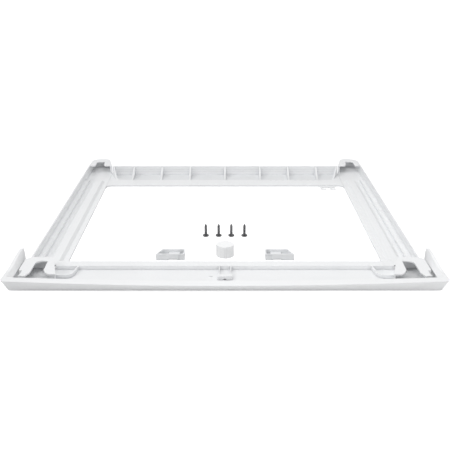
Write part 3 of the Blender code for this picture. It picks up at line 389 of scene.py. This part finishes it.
def pale_floor(name):
    """White studio floor: it reads as white where it is lit and keeps the shadow."""
    material, tree, place = new_material(name)
    cloudy = tuple(part * FLOOR_CLOUD_TONE for part in FLOOR_COLOUR)
    colour = mix_colour(tree, noise(tree, place, **FLOOR_CLOUDS), FLOOR_COLOUR, cloudy)
    paper = add_node(tree, "ShaderNodeBsdfDiffuse", {"Color": colour})
    lift = calculate(tree, "MULTIPLY", seen_directly(tree), FLOOR_LIFT)
    glow = add_node(tree, "ShaderNodeEmission", {"Color": PURE_WHITE, "Strength": lift})
    both = add_node(tree, "ShaderNodeAddShader", {0: paper.outputs[0], 1: glow.outputs[0]})
    add_node(tree, "ShaderNodeOutputMaterial", {"Surface": both.outputs[0]})
    return material


white_plastic = moulded_plastic("white_plastic", WHITE_COLOUR, WHITE_ROUGHNESS)
# The rear rail gets painted shade on the low floors of its pockets
pocket_shaded_plastic = moulded_plastic(
    "pocket_shaded_plastic", WHITE_COLOUR, WHITE_ROUGHNESS, shade_height=POCKET_SHADE_HEIGHT)
trim_plastic = moulded_plastic("trim_plastic", TRIM_COLOUR, TRIM_ROUGHNESS, own_corners=True)
cap_plastic = moulded_plastic("cap_plastic", CAP_COLOUR, TRIM_ROUGHNESS, own_corners=True)
grey_plastic = moulded_plastic("grey_plastic", GREY_COLOUR, GREY_ROUGHNESS)
steel = zinc_steel("dark_zinc_steel")
rubber = dark_rubber("dark_rubber")


# Screws


def thread_radius(turn, height, start, end):
    """Radius of the shank at a height, with a sharp helical ridge on a tapered tip."""
    phase = (height / THREAD_PITCH - turn) % 1
    ridge = max(0, 1 - abs(phase - 0.5) / THREAD_HALF_WIDTH)
    grown = min(1, max(0, (height - start) / THREAD_PITCH))
    taper = min(1, max(0, (end - height) / TIP_LENGTH)) ** TIP_CURVE
    core = (THREAD_RADIUS - THREAD_DEPTH) * (TIP_SHARE + (1 - TIP_SHARE) * taper)
    return core + THREAD_DEPTH * ridge * grown * min(1, TIP_THREAD_SHARE + taper)


def ring(form, height, radius_at):
    """Loop of points round the screw's axis; radius_at takes the share of a turn."""
    points = []
    for side in range(SCREW_SIDES):
        radius = radius_at(side / SCREW_SIDES)
        angle = math.tau * side / SCREW_SIDES
        points.append(form.verts.new((radius * math.cos(angle), radius * math.sin(angle), height)))
    return points


def cross_cutter(name):
    """Plus-shaped pit that narrows upwards into the head."""
    half = CROSS_WIDTH / 2
    arm = CROSS_LENGTH / 2
    outline = [
        (half, half), (arm, half), (arm, -half), (half, -half),
        (half, -arm), (-half, -arm), (-half, -half), (-arm, -half),
        (-arm, half), (-half, half), (-half, arm), (half, arm)]
    form = bmesh.new()
    lower, upper = [
        [form.verts.new((x * share, y * share, height)) for x, y in outline]
        for share, height in ((CROSS_MOUTH_SHARE, -CROSS_OVERRUN), (CROSS_FLOOR_SHARE, CROSS_DEPTH))]
    for index in range(len(outline)):
        after = (index + 1) % len(outline)
        form.faces.new((lower[index], upper[index], upper[after], lower[after]))
    form.faces.new(lower)
    form.faces.new(list(reversed(upper)))
    bmesh.ops.recalc_face_normals(form, faces=form.faces)
    return piece_mesh(name, form)


def make_screw(node):
    """Screw that stands on its head, with a cross recess in the head and a helical thread."""
    low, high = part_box(node)
    centre = (low + high) / 2
    head_radius = (high.x - low.x) / 2
    length = high.z - low.z
    start = HEAD_HEIGHT + THREAD_PITCH * NECK_SHARE
    form = bmesh.new()
    loops = [ring(form, height, lambda turn: head_radius * share) for share, height in HEAD_PROFILE]
    loops += [ring(form, height, lambda turn: THREAD_RADIUS * share) for share, height in NECK_PROFILE]
    count = round((length - start) / THREAD_PITCH * THREAD_STEPS)
    for step in range(count + 1):
        height = start + (length - start) * step / count
        loops.append(ring(form, height, lambda turn: thread_radius(turn, height, start, length)))
    for lower, upper in zip(loops, loops[1:]):
        for side in range(SCREW_SIDES):
            after = (side + 1) % SCREW_SIDES
            form.faces.new((lower[side], lower[after], upper[after], upper[side]))
    form.faces.new(list(reversed(loops[0])))
    form.faces.new(loops[-1])
    screw = piece_mesh(node + "_threaded", form)
    cutter = cross_cutter(node + "_cross")
    recess = screw.modifiers.new("cross_recess", "BOOLEAN")
    recess.object = cutter
    recess.operation = "DIFFERENCE"
    recess.solver = "EXACT"
    bpy.context.view_layer.update()
    graph = bpy.context.evaluated_depsgraph_get()
    finished = bpy.data.meshes.new_from_object(screw.evaluated_get(graph))
    screw.modifiers.clear()
    screw.data = finished
    bpy.data.objects.remove(cutter)
    finished.transform(Matrix.Translation((centre.x, centre.y, low.z)))
    shade_smooth(screw)
    finished.set_sharp_from_angle(angle=SCREW_SHARP_ANGLE)
    return screw


# Pieces


def make_moulding(node):
    """Rounded copy of a CAD node, and the material that it gets."""
    if node.endswith("pad"):
        return rounded_copy(node, PAD_EDGE_RADIUS), rubber
    if node.endswith("bracket"):
        return rounded_copy(node, BRACKET_EDGE_RADIUS), grey_plastic
    special = {"rear_rail": pocket_shaded_plastic, "front_trim": trim_plastic, "foot_cap": cap_plastic}
    return rounded_copy(node, EDGE_RADIUS), special.get(node, white_plastic)


body_of_node = {}
for body, members in frame["record"]["behaviour"]["bodies"].items():
    for member in members:
        body_of_node[member] = body

for node in sorted(frame["nodes"]):
    if node.startswith("screw"):
        piece, material = make_screw(node), steel
    else:
        piece, material = make_moulding(node)
    place_piece(piece, body_of_node[node], node, material)


# Stage


def make_floor():
    form = bmesh.new()
    corners = [
        form.verts.new((across * FLOOR_REACH, along * FLOOR_REACH, 0))
        for across, along in ((-1, -1), (1, -1), (1, 1), (-1, 1))]
    form.faces.new(corners)
    floor = piece_mesh("floor", form)
    floor.data.materials.append(pale_floor("floor_paper"))


def make_sky():
    world = bpy.data.worlds.new("sky")
    bpy.context.scene.world = world
    world.use_nodes = True
    tree = world.node_tree
    tree.nodes.clear()
    share = seen_directly(tree)
    light, white = [
        add_node(tree, "ShaderNodeBackground", {"Color": colour, "Strength": level}).outputs[0]
        for colour, level in ((SKY_COLOUR, SKY_LEVEL), (PURE_WHITE, BACKDROP_LEVEL))]
    either = add_node(tree, "ShaderNodeMixShader", {0: share, 1: light, 2: white})
    add_node(tree, "ShaderNodeOutputWorld", {"Surface": either.outputs[0]})


def towards_kit(way):
    return Vector(way).to_track_quat("Z", "Y").to_euler()


def make_lamp(name, way, energy):
    lamp = bpy.data.lights.new(name, "SUN")
    lamp.energy = energy
    lamp.angle = LAMP_SPREAD
    add_object(name, lamp).rotation_euler = towards_kit(way)


def make_panel(name, place, size, power):
    lamp = bpy.data.lights.new(name, "AREA")
    lamp.shape = "SQUARE"
    lamp.size = size
    lamp.energy = power
    item = add_object(name, lamp)
    item.location = place
    item.rotation_euler = towards_kit(place)


def make_camera():
    lens = bpy.data.cameras.new("camera")
    lens.lens = CAMERA_LENS_MM
    lens.sensor_width = CAMERA_SENSOR_MM
    camera = add_object("camera", lens)
    camera.location = CAMERA_PLACE
    camera.rotation_euler = (CAMERA_TILT, 0, 0)
    bpy.context.scene.camera = camera


make_floor()
make_sky()
for lamp in LAMPS:
    make_lamp(*lamp)
for panel in PANELS:
    make_panel(*panel)
make_camera()
bpy.context.scene.view_settings.view_transform = "Standard"
